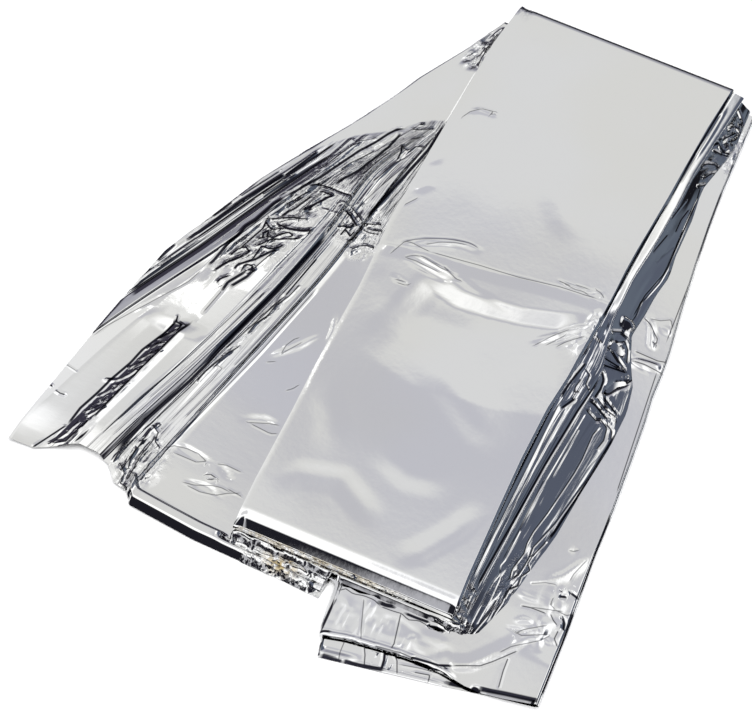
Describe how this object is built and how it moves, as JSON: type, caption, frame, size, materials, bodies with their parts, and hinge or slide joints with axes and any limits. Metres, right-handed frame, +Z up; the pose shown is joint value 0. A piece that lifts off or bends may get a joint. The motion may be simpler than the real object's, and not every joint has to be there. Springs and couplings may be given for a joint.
{
  "type": "folded emergency foil blanket",
  "caption": "Metallised film blanket folded into a long flat strip, with a pleated wing fanned out on one side and a wide folded base on the other, lying flat",
  "frame": {"origin": "under the middle of the sheet's bounding box, on the surface that it lies on", "axes": "+Y along the folded strip, from its near end with the rolled edge to its far end; +X across it, towards the wide base; +Z up"},
  "size_m": [0.2092, 0.2736, 0.0116],
  "materials": {
    "foil": "mirror-bright metallised film, finely creased"
  },
  "bodies": {
    "root": {"foil_blanket": "foil"}
  },
  "joints": []
}
